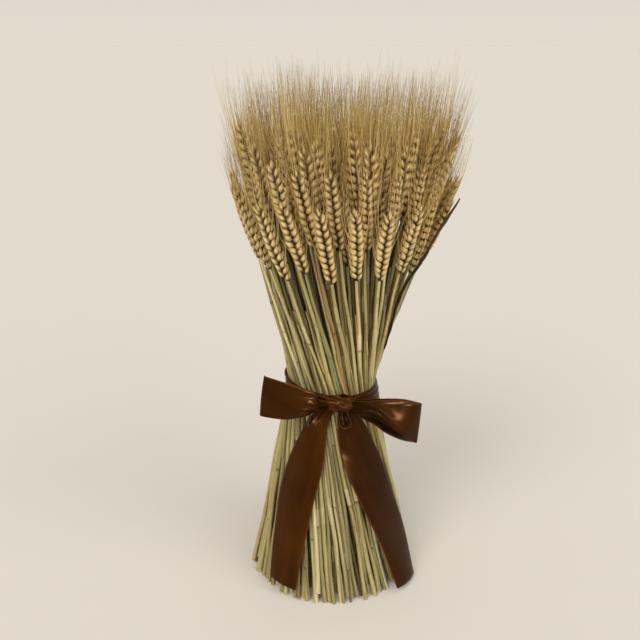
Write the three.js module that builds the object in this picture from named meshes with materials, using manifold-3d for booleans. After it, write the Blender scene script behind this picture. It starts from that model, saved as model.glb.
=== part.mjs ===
// A sheaf of bearded wheat that stands on its cut straws, with a satin ribbon tied round its waist in a bow.
// Millimetres, +Z up, the bow faces -Y, and the origin is on the floor under the middle of the sheaf.
import * as THREE from "three";
import Module from "manifold-3d";

const wasm = await Module();
wasm.setup();

// The twist: each straw is straight from the floor to the waist and straight from the waist to its ear. All
// the straws share these rates, per mm of height and per mm from the axis, so no two of them cross.
const WAIST_Z = 178;
const FOOT = { x: -11.5, y: -1.1 };
const LEAN = 0.05;
const SPREAD_BELOW = 0.0045;
const TWIST_BELOW = 0.0053;
const SPREAD_ABOVE = 0.0035;
const TWIST_ABOVE = 0.0088;

// The straws: an outer ring that shows, each straw on its own, and wedges of straws inside it.
const RING_STRAWS = 44;
const RING_SEAT_R = 35.2;
const WEDGES = 6;
const WEDGE_ROWS = [
  { seatR: 28.2, straws: 4 },
  { seatR: 22, straws: 3 },
  { seatR: 15.6, straws: 2 },
  { seatR: 8, straws: 1 },
];
const WEDGE_SEAT_R = 32.7;
const WEDGE_HALF_HEIGHT = 15;
const WEDGE_GAP = 0.6;
const STRAW_SIDES = 6;
const FOOT_R = 2.2;
const WAIST_R = 2.1;
const NECK_R = 1.3;

// The ears: the ring's ears make a low and a high row by turns, and the low row stands out from the other.
const LOW_EAR_Z = 289;
const HIGH_EAR_Z = 306;
const INNER_EAR_Z = 326;
const EAR_Z_DRAW = 8;
const LOW_STAGGER = 0.09;
const HIGH_STAGGER = -0.02;
const LOW_TILT = 0.03;
const HIGH_TILT = -0.05;
const EAR_LENGTH = 64;
const EAR_LENGTH_DRAW = 4;
const EAR_HALF_WIDTH = 6.5;
const EAR_HALF_DEPTH = 4.6;
const EAR_FULL_FROM = 0.22;
const EAR_FULL_TO = 0.86;
const RIDGE_SWAY = 1.3;
const SPIKELET_RISE = 5.5;
const EAR_TILT_DRAW = 0.05;
const RING_EAR_ROLL = 0.5;
const INNER_EAR_ROLL = 1.6;
const EAR_TRIES = 150;
const RING_LEVELS = 12;
const WEDGE_LEVELS = 10;

// The awns: three-sided needles that carry on from the spikelets' tips.
const AWN_ROOT_R = 0.8;
const RING_AWN_BEYOND_EAR = 28;
const INNER_AWN_BEYOND_EAR = 34;
const AWN_LENGTH_DRAW = 6;
const AWN_UPRIGHT = 0.5;
const AWN_SPLAY = [0.02, 0.15];
const AWN_SWING = 0.12;
const AWN_TRIES = 12;
const FIRST_AWNED_LEVEL = 3;
const BARE_EVERY = 5;
const LEAST_CLEARANCE = 0.45;

// The ribbon.
const RIBBON_WIDTH = 38;
const RIBBON_THICK = 0.9;
const RIBBON_CLEARANCE = 0.5;
const BAND_STEPS = 40;
const KNOT = { x: 6, y: -44.95, z: 179, halfWidth: 10.5, halfDepth: 6, halfHeight: 7 };

// One repeatable stream of numbers draws everything that varies from stalk to stalk.
let seed = 20;
function draw(low, high) {
  seed = (seed * 1664525 + 1013904223) % 4294967296;
  return low + ((high - low) * seed) / 4294967296;
}

// Where the straw that sits at (x, y) in the waist is at height z.
function onStraw(seat, z) {
  const rise = z - WAIST_Z;
  const spread = 1 + (rise > 0 ? SPREAD_ABOVE : -SPREAD_BELOW) * rise;
  const turn = (rise > 0 ? TWIST_ABOVE : TWIST_BELOW) * rise;
  const lean = LEAN * Math.max(rise, 0);
  return new THREE.Vector3(lean + spread * seat.x + turn * seat.y, spread * seat.y - turn * seat.x, z);
}

// The outside of the ring of straws at height z.
function sheafRadius(z) {
  const axis = onStraw({ x: 0, y: 0 }, z);
  return onStraw({ x: RING_SEAT_R, y: 0 }, z).distanceTo(axis) + WAIST_R;
}

// A closed mesh from points and triangles.
class Body {
  points = [];
  faces = [];

  point(p) {
    this.points.push(p.x, p.y, p.z);
    return this.points.length / 3 - 1;
  }

  distance(a, b) {
    return Math.hypot(...[0, 1, 2].map((i) => this.points[3 * a + i] - this.points[3 * b + i]));
  }

  // The wall between two rings of as many points, which run clockwise seen from the upper one. Each
  // stretch is split along its shorter diagonal, so that both faces of a twisted strip are split alike.
  wall(lower, upper) {
    lower.forEach((a, i) => {
      const b = lower[(i + 1) % lower.length];
      const c = upper[(i + 1) % upper.length];
      const d = upper[i];
      if (this.distance(b, d) <= this.distance(a, c)) this.faces.push(a, d, b, b, d, c);
      else this.faces.push(a, d, c, a, c, b);
    });
  }

  // A flat face, its points counter-clockwise seen from outside.
  cap(ring) {
    for (let i = 1; i < ring.length - 1; i++) this.faces.push(ring[0], ring[i], ring[i + 1]);
  }

  // A point or a small ring raised over a loop, both counter-clockwise seen from outside.
  raise(loop, tip) {
    const corner = (i) => Math.floor((i * tip.length) / loop.length) % tip.length;
    loop.forEach((a, i) => {
      const b = loop[(i + 1) % loop.length];
      this.faces.push(a, b, tip[corner(i)]);
      if (corner(i + 1) !== corner(i)) this.faces.push(b, tip[corner(i + 1)], tip[corner(i)]);
    });
  }

  geometry() {
    const made = new THREE.BufferGeometry();
    made.setAttribute("position", new THREE.Float32BufferAttribute(this.points, 3));
    made.setIndex(this.faces);
    return made;
  }

  solid() {
    return new wasm.Manifold(
      new wasm.Mesh({
        numProp: 3,
        vertProperties: new Float32Array(this.points),
        triVerts: new Uint32Array(this.faces),
      }),
    );
  }
}

function geometryOf(solid) {
  const mesh = solid.getMesh();
  const made = new THREE.BufferGeometry();
  made.setAttribute("position", new THREE.BufferAttribute(mesh.vertProperties, 3));
  made.setIndex(new THREE.BufferAttribute(mesh.triVerts, 1));
  return made;
}

// ---------------------------------------------------------------------------------------------- clearances

// Round-ended rods that stand for what is already placed: necks of straws, ears, awns and the leaf.
const rods = [];

// The least distance between the centre lines of two rods.
function lineDistance(one, other) {
  const u = one.to.clone().sub(one.from);
  const v = other.to.clone().sub(other.from);
  const w = one.from.clone().sub(other.from);
  const uu = u.dot(u);
  const vv = v.dot(v);
  const uv = u.dot(v);
  const across = uu * vv - uv * uv;
  let s = across > 1e-9 ? THREE.MathUtils.clamp((uv * v.dot(w) - vv * u.dot(w)) / across, 0, 1) : 0;
  const t = THREE.MathUtils.clamp((uv * s + v.dot(w)) / vv, 0, 1);
  s = THREE.MathUtils.clamp((uv * t - u.dot(w)) / uu, 0, 1);
  const onOne = one.from.clone().addScaledVector(u, s);
  return onOne.distanceTo(other.from.clone().addScaledVector(v, t));
}

// The least gap between some rods and those of every other node.
function clearance(mine, node) {
  let least = Infinity;
  for (const rod of rods) {
    if (rod.node === node) continue;
    for (const one of mine) {
      least = Math.min(least, lineDistance(one, rod) - one.radius - rod.radius);
    }
  }
  return least;
}

// The first of some draws that keeps clear of what is placed, or else the clearest of them.
function clearestOf(tries, drawOne, node) {
  let best = null;
  for (let i = 0; i < tries; i++) {
    const made = drawOne();
    made.clearance = clearance(made.rods, node);
    if (!best || made.clearance > best.clearance) best = made;
    if (best.clearance > LEAST_CLEARANCE) break;
  }
  return best;
}

// ---------------------------------------------------------------------------------------------- stalks

// How full an ear is at a share of its length.
function fullness(share) {
  return Math.sin(Math.PI * (EAR_FULL_FROM + (EAR_FULL_TO - EAR_FULL_FROM) * share));
}

// Where a stalk goes: its seat in the waist, the neck where its ear starts, and the ear's own directions.
function placeStalk(seat, { earZ, stagger, tilt, roll, levels, awnBeyondEar, node }) {
  const neckZ = earZ + draw(-EAR_Z_DRAW, EAR_Z_DRAW);
  const neck = onStraw({ x: seat.x * (1 + stagger), y: seat.y * (1 + stagger) }, neckZ);
  const up = neck.clone().sub(onStraw(seat, WAIST_Z)).normalize();
  const outwards = neck.clone().sub(onStraw({ x: 0, y: 0 }, neckZ)).normalize();
  up.addScaledVector(outwards, tilt);
  up.x += draw(-EAR_TILT_DRAW, EAR_TILT_DRAW);
  up.y += draw(-EAR_TILT_DRAW, EAR_TILT_DRAW);
  up.normalize();
  const angle = Math.atan2(neck.y, neck.x) + Math.PI / 2 + roll;
  const level = new THREE.Vector3(Math.cos(angle), Math.sin(angle), 0);
  const side = level.clone().addScaledVector(up, -level.dot(up)).normalize();
  const front = side.clone().cross(up);
  const length = EAR_LENGTH + draw(-EAR_LENGTH_DRAW, EAR_LENGTH_DRAW);
  const along = (share) => neck.clone().addScaledVector(up, share * length);
  const thirds = [0, 1, 2].map((i) => ({
    node,
    from: along(i / 3),
    to: along((i + 1) / 3),
    radius: EAR_HALF_WIDTH * Math.max(fullness(i / 3), fullness((i + 1) / 3)),
  }));
  const straw = { node, from: onStraw(seat, (WAIST_Z + neckZ) / 2), to: neck, radius: WAIST_R };
  return {
    ...{ seat, neck, up, side, front, level, length, levels, awnBeyondEar, node },
    rods: [straw, ...thirds],
  };
}

// A ring of points round a straw, from its front clockwise seen from above.
function strawRing(body, centre, radius, side, front) {
  return Array.from({ length: STRAW_SIDES }, (_, i) => {
    const turn = (2 * Math.PI * i) / STRAW_SIDES;
    const p = centre.clone().addScaledVector(front, radius * Math.cos(turn));
    return body.point(p.addScaledVector(side, -radius * Math.sin(turn)));
  });
}

const UPWARDS = new THREE.Vector3(0, 0, 1);

// The awn on a spikelet's tip, or nothing where no draw keeps clear of the other stalks.
function drawAwn(stalk, tip, outward, share) {
  const reach = (1 - share) * stalk.length + stalk.awnBeyondEar;
  const drawOne = () => {
    const way = stalk.up.clone().lerp(UPWARDS, AWN_UPRIGHT);
    way.addScaledVector(outward, draw(...AWN_SPLAY));
    way.addScaledVector(stalk.front, draw(-AWN_SWING, AWN_SWING)).normalize();
    const end = tip.clone().addScaledVector(way, reach + draw(-AWN_LENGTH_DRAW, AWN_LENGTH_DRAW));
    return { way, end, rods: [{ node: stalk.node, from: tip, to: end, radius: AWN_ROOT_R / 2 }] };
  };
  const awn = clearestOf(AWN_TRIES, drawOne, stalk.node);
  if (awn.clearance < LEAST_CLEARANCE) return null;
  rods.push(...awn.rods);
  return awn;
}

// One stalk as a closed body: a straw, and an ear whose spikelets are raised in turn left and right between a
// front and a back ridge. An awned spikelet narrows to a three-cornered root and runs on to the awn's tip.
function stalkBody(stalk) {
  const { seat, neck, up, side, front, level, length, levels } = stalk;
  const body = new Body();
  const outwards = new THREE.Vector3(level.y, -level.x, 0);
  const foot = strawRing(body, onStraw(seat, 0), FOOT_R, level, outwards);
  const waist = strawRing(body, onStraw(seat, WAIST_Z), WAIST_R, level, outwards);
  const top = strawRing(body, neck, NECK_R, side, front);
  body.cap(foot);
  body.wall(foot, waist);
  body.wall(waist, top);

  const fronts = [top[0]];
  const backs = [top[STRAW_SIDES / 2]];
  for (let k = 1; k <= levels; k++) {
    const share = k / levels;
    const middle = neck.clone().addScaledVector(up, share * length);
    middle.addScaledVector(side, (k % 2 ? RIDGE_SWAY : -RIDGE_SWAY) * fullness(share));
    const depth = EAR_HALF_DEPTH * fullness(share);
    fronts.push(body.point(middle.clone().addScaledVector(front, depth)));
    backs.push(body.point(middle.clone().addScaledVector(front, -depth)));
  }
  for (let k = 0; k <= levels; k++) {
    const left = k % 2 === 1;
    const low = Math.max(0, k - 1);
    const high = Math.min(levels, k + 1);
    const loop = [...fronts.slice(low, high + 1), ...backs.slice(low, high + 1).reverse()];
    if (low === 0) loop.push(...(left ? [top[2], top[1]] : [top[4], top[5]]));
    if (!left) loop.reverse();

    const share = k / levels;
    const outward = side.clone().multiplyScalar(left ? -1 : 1);
    const tip = neck.clone().addScaledVector(up, share * length + SPIKELET_RISE);
    tip.addScaledVector(outward, EAR_HALF_WIDTH * fullness(share));
    const awned = k >= FIRST_AWNED_LEVEL && k % BARE_EVERY !== 0;
    const awn = awned ? drawAwn(stalk, tip, outward, share) : null;
    if (!awn) {
      body.raise(loop, [body.point(tip)]);
      continue;
    }
    const first = front.clone().multiplyScalar(left ? 1 : -1);
    first.addScaledVector(awn.way, -first.dot(awn.way)).normalize();
    const second = awn.way.clone().cross(first);
    const root = [0, 1, 2].map((i) => {
      const turn = (2 * Math.PI * i) / 3;
      const p = tip.clone().addScaledVector(first, AWN_ROOT_R * Math.cos(turn));
      return body.point(p.addScaledVector(second, AWN_ROOT_R * Math.sin(turn)));
    });
    body.raise(loop, root);
    body.raise(root, [body.point(awn.end)]);
  }
  return body;
}

// ---------------------------------------------------------------------------------------------- the wedges

// The tied-together middle of a wedge of straws, which its straws stand out of above and below the ribbon.
function wedgeCore(start, end) {
  const body = new Body();
  const middle = (start + end) / 2;
  const inset = Math.asin(WEDGE_GAP / 2 / WEDGE_SEAT_R);
  const tipR = WEDGE_GAP / 2 / Math.sin((end - start) / 2);
  const outline = [{ x: tipR * Math.cos(middle), y: tipR * Math.sin(middle) }];
  const arcSteps = 5;
  for (let i = 0; i <= arcSteps; i++) {
    const angle = end - inset - ((end - start - 2 * inset) * i) / arcSteps;
    outline.push({ x: WEDGE_SEAT_R * Math.cos(angle), y: WEDGE_SEAT_R * Math.sin(angle) });
  }
  const rings = [-WEDGE_HALF_HEIGHT, 0, WEDGE_HALF_HEIGHT].map((rise) =>
    outline.map((seat) => body.point(onStraw(seat, WAIST_Z + rise))),
  );
  body.cap(rings[0]);
  body.wall(rings[0], rings[1]);
  body.wall(rings[1], rings[2]);
  body.cap([...rings[2]].reverse());
  return body;
}

// ---------------------------------------------------------------------------------------------- flat strips

// A thin strip through stations, each with its two edges and the way its front faces.
function stripBody(stations, thick) {
  const body = new Body();
  const rings = stations.map(({ low, high, face }) => {
    const half = face.clone().multiplyScalar(thick / 2);
    return [
      low.clone().sub(half),
      low.clone().add(half),
      high.clone().add(half),
      high.clone().sub(half),
    ].map((p) => body.point(p));
  });
  body.cap(rings[0]);
  for (let i = 1; i < rings.length; i++) body.wall(rings[i - 1], rings[i]);
  body.cap([...rings[rings.length - 1]].reverse());
  return body;
}

// ---------------------------------------------------------------------------------------------- the sheaf

const straw = new THREE.MeshStandardMaterial({ color: 0xc4ad6a, roughness: 0.75, metalness: 0 });
const satin = new THREE.MeshStandardMaterial({ color: 0x3d2213, roughness: 0.4, metalness: 0 });
const leafBrown = new THREE.MeshStandardMaterial({ color: 0x2f261c, roughness: 0.85, metalness: 0 });

const sheaf = new THREE.Group();
sheaf.position.set(FOOT.x, FOOT.y, 0);

function add(name, geometry, material) {
  const mesh = new THREE.Mesh(geometry, material);
  mesh.name = name;
  sheaf.add(mesh);
  return mesh;
}

// The flag leaf: a dried blade that runs up along the straws on the right and stands off from the ears.
// Each station gives its height, the seat in the waist that it stands over, as an angle and as a share of
// the ring's own radius, and its half width.
const LEAF_THICK = 0.9;
const LEAF_STATIONS = [
  { z: 216, degrees: -8, out: 1.08, half: 2 },
  { z: 242, degrees: -5.5, out: 1.08, half: 3.4 },
  { z: 263, degrees: -5, out: 1.085, half: 3.6 },
  { z: 285, degrees: -4, out: 1.15, half: 3.2 },
  { z: 306, degrees: 3.5, out: 1.2, half: 2.6 },
  { z: 325, degrees: 9, out: 1.23, half: 2.1 },
  { z: 347, degrees: 12, out: 1.25, half: 0.9 },
];

function leafBody() {
  const centres = LEAF_STATIONS.map(({ z, degrees, out }) => {
    const angle = THREE.MathUtils.degToRad(degrees);
    const r = RING_SEAT_R * out;
    return onStraw({ x: r * Math.cos(angle), y: r * Math.sin(angle) }, z);
  });
  const stations = centres.map((centre, i) => {
    const along = centres[Math.min(i + 1, centres.length - 1)].clone().sub(centres[Math.max(i - 1, 0)]);
    const across = new THREE.Vector3(centre.x, centre.y, 0).cross(along).normalize();
    const face = along.clone().cross(across).normalize();
    across.multiplyScalar(LEAF_STATIONS[i].half);
    return { low: centre.clone().sub(across), high: centre.clone().add(across), face };
  });
  centres.slice(1).forEach((to, i) => {
    rods.push({ node: "flag_leaf", from: centres[i], to, radius: LEAF_STATIONS[i].half });
  });
  return stripBody(stations, LEAF_THICK);
}
const leaf = leafBody();

// All the stalks are placed before any awn is drawn, so that each awn finds a clear way between them.
const placed = [];
const wedgeAngle = (2 * Math.PI) / WEDGES;
for (let w = 0; w < WEDGES; w++) {
  const node = `stalks_inner_${w + 1}`;
  for (const { seatR, straws } of WEDGE_ROWS) {
    for (let i = 0; i < straws; i++) {
      const angle = w * wedgeAngle + ((i + 0.5) * wedgeAngle) / straws;
      const seat = { x: seatR * Math.cos(angle), y: seatR * Math.sin(angle) };
      const place = () =>
        placeStalk(seat, {
          earZ: INNER_EAR_Z,
          stagger: 0,
          tilt: 0,
          roll: draw(-INNER_EAR_ROLL, INNER_EAR_ROLL),
          levels: WEDGE_LEVELS,
          awnBeyondEar: INNER_AWN_BEYOND_EAR,
          node,
        });
      const stalk = clearestOf(EAR_TRIES, place, node);
      rods.push(...stalk.rods);
      placed.push(stalk);
    }
  }
}
for (let i = 0; i < RING_STRAWS; i++) {
  const low = i % 2 === 0;
  const angle = (2 * Math.PI * (i + 0.5)) / RING_STRAWS;
  const seat = { x: RING_SEAT_R * Math.cos(angle), y: RING_SEAT_R * Math.sin(angle) };
  const node = `stalk_${String(i + 1).padStart(2, "0")}`;
  const place = () =>
    placeStalk(seat, {
      earZ: low ? LOW_EAR_Z : HIGH_EAR_Z,
      stagger: low ? LOW_STAGGER : HIGH_STAGGER,
      tilt: low ? LOW_TILT : HIGH_TILT,
      roll: draw(-RING_EAR_ROLL, RING_EAR_ROLL),
      levels: RING_LEVELS,
      awnBeyondEar: RING_AWN_BEYOND_EAR,
      node,
    });
  const stalk = clearestOf(EAR_TRIES, place, node);
  rods.push(...stalk.rods);
  placed.push(stalk);
}

const bodies = new Map();
for (const stalk of placed) {
  if (!bodies.has(stalk.node)) bodies.set(stalk.node, []);
  bodies.get(stalk.node).push(stalkBody(stalk));
}
for (let w = 0; w < WEDGES; w++) {
  const node = `stalks_inner_${w + 1}`;
  let solid = wedgeCore(w * wedgeAngle, (w + 1) * wedgeAngle).solid();
  for (const body of bodies.get(node)) solid = solid.add(body.solid());
  add(node, geometryOf(solid), straw);
  bodies.delete(node);
}
for (const [node, [body]] of bodies) add(node, body.geometry(), straw);
add("flag_leaf", leaf.geometry(), leafBrown);

// ---------------------------------------------------------------------------------------------- the ribbon

// A point just outside the straws, at an angle from the front towards +X.
function roundSheaf(angle, z, off) {
  const r = sheafRadius(z) + RIBBON_CLEARANCE + off;
  return new THREE.Vector3(r * Math.sin(angle) + LEAN * Math.max(z - WAIST_Z, 0), -r * Math.cos(angle), z);
}

// The band is gathered narrow under the knot and wide behind, and lies higher on the left than on the right.
const BAND_HALF_FRONT = 7;
const BAND_HALF_BACK = 16;
const BAND_Z = 173.5;
const BAND_RISE_FRONT = 3.5;
const BAND_RISE_LEFT = 4;

function bandBody() {
  const body = new Body();
  const rings = Array.from({ length: BAND_STEPS }, (_, i) => {
    const angle = (2 * Math.PI * i) / BAND_STEPS;
    const back = (1 - Math.cos(angle)) / 2;
    const half = BAND_HALF_FRONT + (BAND_HALF_BACK - BAND_HALF_FRONT) * back;
    const centre = BAND_Z + BAND_RISE_FRONT * Math.cos(angle) - BAND_RISE_LEFT * Math.sin(angle);
    const inner = [-1, 0, 1].map((side) => roundSheaf(angle, centre + side * half, 0));
    const outer = [1, 0, -1].map((side) => roundSheaf(angle, centre + side * half, RIBBON_THICK));
    return [...inner, ...outer].map((p) => body.point(p));
  });
  rings.forEach((ring, i) => body.wall(rings[(i + 1) % rings.length], ring));
  return body;
}
add("ribbon_band", bandBody().geometry(), satin);

// The knot is a tight cushion of gathered ribbon in front of the band.
const knotProfile = [
  [0, -1],
  [0.62, -0.97],
  [0.95, -0.6],
  [0.84, 0],
  [0.95, 0.6],
  [0.62, 0.97],
  [0, 1],
].map(([across, along]) => new THREE.Vector2(across, along));
const knotGeometry = new THREE.LatheGeometry(knotProfile, 12);
knotGeometry.rotateZ(-Math.PI / 2);
knotGeometry.scale(KNOT.halfWidth, KNOT.halfDepth, KNOT.halfHeight);
const knot = add("ribbon_knot", knotGeometry, satin);
knot.position.set(KNOT.x, KNOT.y, KNOT.z);

// A bow loop is a strip that runs from the knot out to a fold and back behind itself. Each station gives
// how far out it lies, its height on the loop's middle line, its half width and how far it is in front of
// the knot's middle.
function loopBody(way, stations) {
  const points = stations.map(({ out, z, half, ahead }) => ({
    centre: new THREE.Vector3(way * out, -ahead, z),
    half,
  }));
  const made = points.map(({ centre, half }, i) => {
    const next = points[Math.min(i + 1, points.length - 1)].centre;
    const along = next.clone().sub(points[Math.max(i - 1, 0)].centre);
    const face = new THREE.Vector3(-along.y, along.x, 0).normalize().multiplyScalar(-way);
    const up = new THREE.Vector3(0, 0, half);
    return { low: centre.clone().sub(up), high: centre.clone().add(up), face };
  });
  return stripBody(way > 0 ? made : made.reverse(), RIBBON_THICK);
}
const HALF_RIBBON = RIBBON_WIDTH / 2;
const leftLoop = loopBody(-1, [
  { out: 10.95, z: 0, half: 5.5, ahead: 2.5 },
  { out: 22, z: 0.5, half: 12, ahead: 4 },
  { out: 38, z: 2.5, half: 16.5, ahead: 5 },
  { out: 55, z: 4, half: HALF_RIBBON - 0.5, ahead: 4 },
  { out: 61.5, z: 4, half: HALF_RIBBON, ahead: 1.5 },
  { out: 62.5, z: 4, half: HALF_RIBBON, ahead: -1.5 },
  { out: 57, z: 4, half: HALF_RIBBON - 0.5, ahead: -4 },
  { out: 40, z: 3, half: 16.5, ahead: -4.5 },
  { out: 24, z: 1, half: 12, ahead: -2.5 },
  { out: 10.95, z: 0, half: 5.5, ahead: -1.2 },
]);
const rightLoop = loopBody(1, [
  { out: 10.95, z: 0, half: 5.5, ahead: 2.5 },
  { out: 20, z: -3.5, half: 11.5, ahead: 4 },
  { out: 34, z: -11, half: 15.5, ahead: 5.5 },
  { out: 50, z: -19, half: HALF_RIBBON - 1, ahead: 5 },
  { out: 65, z: -23, half: HALF_RIBBON, ahead: 1.5 },
  { out: 66, z: -23, half: HALF_RIBBON, ahead: -1.5 },
  { out: 52, z: -20, half: HALF_RIBBON - 1, ahead: -4.5 },
  { out: 36, z: -12, half: 15.5, ahead: -4.5 },
  { out: 22, z: -4.5, half: 11.5, ahead: -2.5 },
  { out: 10.95, z: 0, half: 5.5, ahead: -1.2 },
]);
for (const [name, body] of [
  ["ribbon_loop_left", leftLoop],
  ["ribbon_loop_right", rightLoop],
]) {
  add(name, body.geometry(), satin).position.copy(knot.position);
}

// A tail falls from under the knot and lies on the straws down to the floor. Each station gives its height,
// the angle of its middle line from the front, its half width, and how far it stands off the straws.
function tailBody(stations) {
  const made = stations.map(({ z, degrees, half, off = 0 }) => {
    const angle = THREE.MathUtils.degToRad(degrees);
    const centre = roundSheaf(angle, z, RIBBON_THICK / 2 + off);
    const across = new THREE.Vector3(Math.cos(angle), Math.sin(angle), 0).multiplyScalar(half);
    const face = new THREE.Vector3(Math.sin(angle), -Math.cos(angle), 0);
    return { low: centre.clone().sub(across), high: centre.clone().add(across), face };
  });
  return stripBody(made, RIBBON_THICK);
}
const leftTail = tailBody([
  { z: 171.9, degrees: -5, half: 6, off: 3.3 },
  { z: 160, degrees: -18, half: 9.5, off: 2.2 },
  { z: 146, degrees: -28, half: 14, off: 1.5 },
  { z: 124, degrees: -33, half: 17.5, off: 1 },
  { z: 92, degrees: -38, half: HALF_RIBBON },
  { z: 50, degrees: -41, half: HALF_RIBBON },
  { z: 8, degrees: -41, half: HALF_RIBBON },
]);
const rightTail = tailBody([
  { z: 171.9, degrees: 16, half: 6, off: 3.5 },
  { z: 160, degrees: 20, half: 10, off: 2.5 },
  { z: 146, degrees: 25, half: 14.5, off: 1.5 },
  { z: 120, degrees: 33, half: 18, off: 1 },
  { z: 90, degrees: 44, half: HALF_RIBBON },
  { z: 50, degrees: 54, half: HALF_RIBBON, off: 1 },
  { z: 6, degrees: 57, half: HALF_RIBBON, off: 3 },
]);
add("ribbon_tail_left", leftTail.geometry(), satin);
add("ribbon_tail_right", rightTail.geometry(), satin);

const group = new THREE.Group();
group.add(sheaf);
export default group;
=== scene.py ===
import math

import bpy
import numpy as np
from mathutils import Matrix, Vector


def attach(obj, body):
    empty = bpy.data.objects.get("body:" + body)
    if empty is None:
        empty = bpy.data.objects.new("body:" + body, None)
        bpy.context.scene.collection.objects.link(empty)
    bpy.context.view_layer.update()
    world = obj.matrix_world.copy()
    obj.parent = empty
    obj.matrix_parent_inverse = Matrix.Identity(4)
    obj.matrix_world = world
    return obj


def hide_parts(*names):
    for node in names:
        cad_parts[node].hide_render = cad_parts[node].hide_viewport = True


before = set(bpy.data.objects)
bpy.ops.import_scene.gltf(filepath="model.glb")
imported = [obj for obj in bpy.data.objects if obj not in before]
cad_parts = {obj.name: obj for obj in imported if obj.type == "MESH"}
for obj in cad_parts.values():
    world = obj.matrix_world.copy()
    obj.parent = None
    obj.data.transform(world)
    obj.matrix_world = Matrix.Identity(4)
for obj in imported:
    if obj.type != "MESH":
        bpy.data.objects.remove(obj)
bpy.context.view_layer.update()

# --------------------------------------------------------------------- the view
# The sheaf is seen from in front and a little above, from about 60 cm away, with its bow towards the camera.
# Colours are shown as they are picked, with no film look.


def put_in(name, data):
    """A new object in the scene."""
    made = bpy.data.objects.new(name, data)
    bpy.context.scene.collection.objects.link(made)
    return made


camera = put_in("camera", bpy.data.cameras.new("camera"))
camera.data.lens = 42.3
camera.data.sensor_width = 36
camera.location = (-0.0215, -0.5951, 0.455)
camera.rotation_euler = (math.radians(69.6), 0, 0)
bpy.context.scene.camera = camera
bpy.context.scene.view_settings.view_transform = "Standard"

# ----------------------------------------------------------- how the stalks lie
# Dried wheat stalks are gathered in one hand and twisted, so that they cross at the waist and flare to their
# cut ends below and to their ears above. Each straw keeps its seat in the waist, and all share one twist.
# Lengths are in millimetres, and spreads and turns are for each millimetre above or below the waist.
WAIST_Z = 178.0
WAIST_BEND = 8.0
FOOT = np.array([-11.5, -1.1, 0.0])
LEAN = 0.05
SPREAD_BELOW = 0.0045
TWIST_BELOW = 0.0053
SPREAD_ABOVE = 0.0035
TWIST_ABOVE = 0.0088
RING_STRAWS = 44
RING_SEAT_R = 35.2
WEDGES = 6
WEDGE_ROWS = ((28.2, 4), (22.0, 3), (15.6, 2), (8.0, 1))
FOOT_R = 2.2
WAIST_R = 2.1
NECK_R = 1.3
EAR_LENGTH = 64.0
EAR_LENGTH_VARIES = 4.0
EAR_HALF_WIDTH = 6.5
EAR_Z_VARIES = 8.0
EAR_LEAN_VARIES = 0.05
EAR_PARTS = 3
EAR_TRIES = 150
TRIES_AT_ONCE = 10
DRAWS_EACH = 5
LEAST_CLEARANCE = 0.45
AWN_TOP_Z = 429.0
STYLES = {
    "low": {"ear_z": 289.0, "stagger": 0.09, "tilt": 0.03, "roll": 0.5, "awn": 28.0, "bare": 0.45},
    "high": {"ear_z": 306.0, "stagger": -0.02, "tilt": -0.05, "roll": 0.5, "awn": 28.0, "bare": 0.3},
    "inner": {"ear_z": 326.0, "stagger": 0.0, "tilt": 0.0, "roll": 1.6, "awn": 34.0, "bare": 0.1},
}
# The flag leaf's stations: height, the seat below as an angle and a share of the ring, and half width.
LEAF_STATIONS = (
    (216.0, -8.0, 1.08, 2.0),
    (242.0, -5.5, 1.08, 3.4),
    (263.0, -5.0, 1.085, 3.6),
    (285.0, -4.0, 1.15, 3.2),
    (306.0, 3.5, 1.2, 2.6),
    (325.0, 9.0, 1.23, 2.1),
    (347.0, 12.0, 1.25, 0.9),
)


def on_straw(x, y, z, bend=0.0):
    """Where the straws that sit at (x, y) in the waist are at the heights z, from the sheaf's own foot."""
    x, y, z = np.broadcast_arrays(*(np.asarray(v, float) for v in (x, y, z)))
    rise = z - WAIST_Z
    above = np.maximum(rise, 0.0)
    below = np.maximum(-rise, 0.0)
    if bend:
        near = np.abs(rise) < bend
        above = np.where(near, (rise + bend) ** 2 / (4 * bend), above)
        below = np.where(near, (bend - rise) ** 2 / (4 * bend), below)
    spread = 1 + SPREAD_ABOVE * above + SPREAD_BELOW * below
    turn = TWIST_ABOVE * above - TWIST_BELOW * below
    return np.stack([LEAN * above + spread * x + turn * y, spread * y - turn * x, z], -1)


def unit(v):
    """The same ways, each one long."""
    return v / np.linalg.norm(v, axis=-1, keepdims=True)


def fullness(share):
    """How plump an ear is at a share of its length."""
    return np.sin(np.pi * (0.22 + 0.64 * share))


STREAM_FACTOR = 1664525
STREAM_STEP = 1013904223
STREAM_SIZE = 4294967296
seed = 20


def draws(count):
    """The next numbers, from 0 to 1, of the stream that varies the stalks, and where it stood after each."""
    global seed
    states = []
    for _ in range(count):
        seed = (seed * STREAM_FACTOR + STREAM_STEP) % STREAM_SIZE
        states.append(seed)
    return np.array(states) / STREAM_SIZE, states


def either_way(most, share):
    """An amount from -most to most, for a share from 0 to 1."""
    return -most + (most + most) * share


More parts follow.
